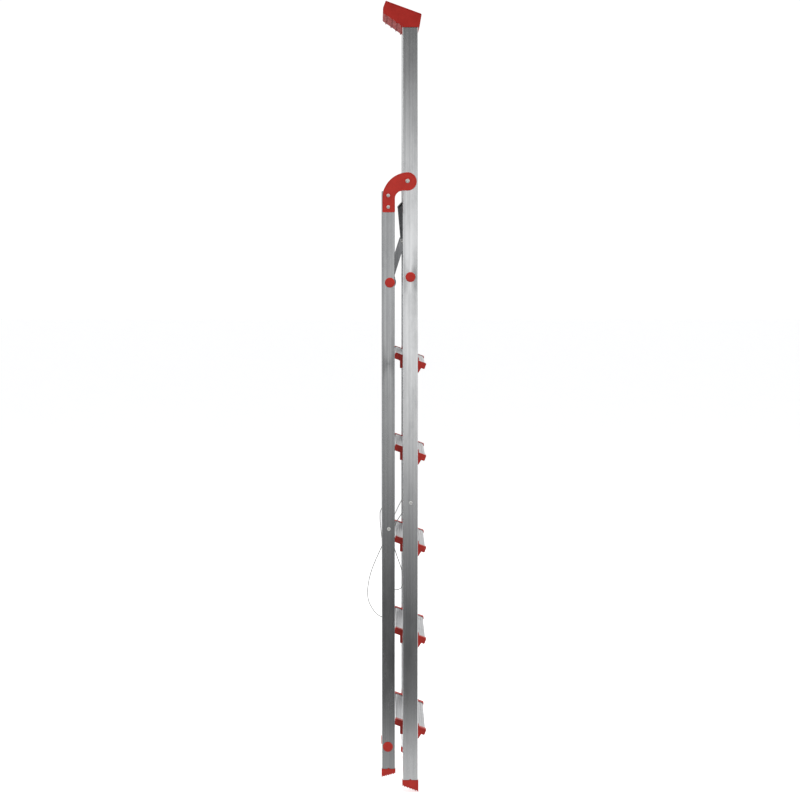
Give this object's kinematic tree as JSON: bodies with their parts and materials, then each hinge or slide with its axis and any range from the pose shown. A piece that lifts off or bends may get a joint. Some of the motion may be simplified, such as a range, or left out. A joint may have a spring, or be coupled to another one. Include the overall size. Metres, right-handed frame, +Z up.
{
  "type": "platform stepladder",
  "caption": "Folded single-sided aluminium stepladder with ribbed treads, a fold-down platform, a rear frame on hinge arms, a tool tray on top and two safety cords.",
  "frame": {"origin": "on the floor under the middle of the folded, upright ladder", "axes": "+Z up, +Y towards the rear frame, so the climber stands on the -Y side, and X across the ladder"},
  "size_m": [0.4826, 0.1621, 2.1445],
  "materials": {
    "aluminium": "mill finish, brushed along the length",
    "ribbed_aluminium": "satin extruded ribs",
    "red_plastic": "fine-grained moulded",
    "dark_plastic": "fine-grained moulded",
    "grey_metal": "satin",
    "bright_steel": "bright zinc plated",
    "cord": "braided"
  },
  "bodies": {
    "front_frame": {"front_stile_left": "aluminium", "front_stile_right": "aluminium", "front_foot_left": "red_plastic", "front_foot_right": "red_plastic", "tread_1": "ribbed_aluminium", "tread_2": "ribbed_aluminium", "tread_3": "ribbed_aluminium", "tread_4": "ribbed_aluminium", "tread_5": "ribbed_aluminium", "step_bracket_1_left": "red_plastic", "step_bracket_1_right": "red_plastic", "step_bracket_2_left": "red_plastic", "step_bracket_2_right": "red_plastic", "step_bracket_3_left": "red_plastic", "step_bracket_3_right": "red_plastic", "step_bracket_4_left": "red_plastic", "step_bracket_4_right": "red_plastic", "step_bracket_5_left": "red_plastic", "step_bracket_5_right": "red_plastic", "platform_tube": "aluminium", "platform_tube_cap_left": "red_plastic", "platform_tube_cap_right": "red_plastic", "hinge_pin_left": "bright_steel", "hinge_pin_right": "bright_steel", "front_cord_anchor_left": "bright_steel", "front_cord_anchor_right": "bright_steel", "tray_screw_left": "bright_steel", "tray_screw_right": "bright_steel", "tool_tray": "red_plastic", "safety_cord_left": "cord", "safety_cord_right": "cord"},
    "rear_frame": {"rear_stile_left": "aluminium", "rear_stile_right": "aluminium", "rear_foot_left": "red_plastic", "rear_foot_right": "red_plastic", "hinge_arm_left": "red_plastic", "hinge_arm_right": "red_plastic", "arm_rivet_upper_left": "bright_steel", "arm_rivet_upper_right": "bright_steel", "arm_rivet_lower_left": "bright_steel", "arm_rivet_lower_right": "bright_steel", "rear_upper_tube": "aluminium", "rear_lower_tube": "aluminium", "rear_upper_cap_left": "red_plastic", "rear_upper_cap_right": "red_plastic", "rear_lower_cap_left": "red_plastic", "rear_lower_cap_right": "red_plastic", "rear_cord_anchor_left": "bright_steel", "rear_cord_anchor_right": "bright_steel"},
    "platform": {"platform_deck": "ribbed_aluminium", "platform_side_left": "grey_metal", "platform_side_right": "grey_metal", "platform_end_rest": "dark_plastic"},
    "stays": {"stay_left": "aluminium", "stay_right": "aluminium", "stay_pin_left": "bright_steel", "stay_pin_right": "bright_steel"}
  },
  "joints": [
    {"name": "frame_fold", "type": "hinge", "parent": "front_frame", "child": "rear_frame", "pos_m": [0, -0.0101, 1.66], "axis": [1, 0, 0], "range_deg": [0, 35], "deforming": ["safety_cord_left", "safety_cord_right"]},
    {"name": "platform_fold", "type": "hinge", "parent": "front_frame", "child": "platform", "pos_m": [0, -0.0179, 1.402], "axis": [1, 0, 0], "range_deg": [-64.8, 0]},
    {"name": "stay_swing", "type": "hinge", "parent": "rear_frame", "child": "stays", "pos_m": [0, 0.0378, 1.387], "axis": [1, 0, 0], "range_deg": [0, 58.3]}
  ],
  "couplings": [
    {"joint": "platform_fold", "follows": "frame_fold", "ratio": -1.8514},
    {"joint": "stay_swing", "follows": "frame_fold", "ratio": 1.6656}
  ]
}
